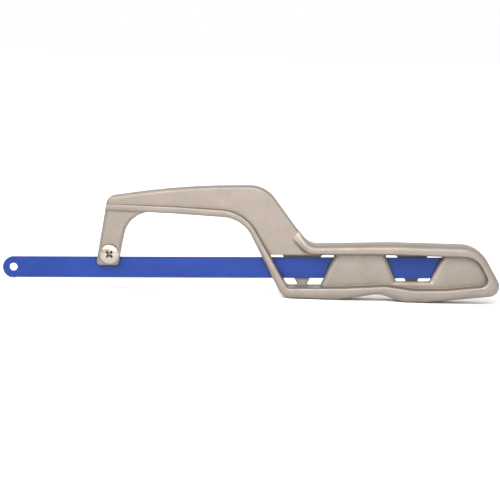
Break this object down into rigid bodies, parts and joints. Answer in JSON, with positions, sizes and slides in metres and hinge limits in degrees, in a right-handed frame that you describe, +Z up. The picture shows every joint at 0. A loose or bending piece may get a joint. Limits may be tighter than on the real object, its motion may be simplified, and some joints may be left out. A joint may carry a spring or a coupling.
{
  "type": "mini hacksaw",
  "caption": "Close-quarters hacksaw with a one-piece cast frame and handle, a long blue blade and a screw clamp at the leg.",
  "frame": {"origin": "centre of the saw's bounding box in plan, on the floor under the two lobes of the handle", "axes": "+X along the saw from the blade's tip to the rear of the handle, +Z up, -Y towards the side with the screw's head"},
  "size_m": [0.323, 0.021, 0.0721],
  "materials": {
    "cast_aluminium": "tumbled casting, satin",
    "blue_enamel": "thin satin enamel on spring steel",
    "plated_steel": "bright plating",
    "plated_plate": "zinc plating, satin",
    "plated_nut": "zinc plating"
  },
  "bodies": {
    "frame": {"frame": "cast_aluminium"},
    "blade": {"blade": "blue_enamel"},
    "screw": {"clamp_screw": "plated_steel"},
    "clamp": {"clamp_plate": "plated_plate", "clamp_nut": "plated_nut"}
  },
  "joints": [
    {"name": "blade_slide", "type": "slide", "parent": "frame", "child": "blade", "axis": [-0.9995, 0, -0.0319], "range_m": [0, 0.235]},
    {"name": "screw_turn", "type": "hinge", "parent": "frame", "child": "screw", "pos_m": [-0.09194, 0, 0.02475], "axis": [0, -1, 0], "range_deg": [0, 1080]},
    {"name": "clamp_slide", "type": "slide", "parent": "frame", "child": "clamp", "axis": [0, 1, 0], "range_m": [0, 0.0021]}
  ],
  "couplings": [
    {"joint": "screw_turn", "follows": "clamp_slide", "rad_per_m": 8976}
  ]
}
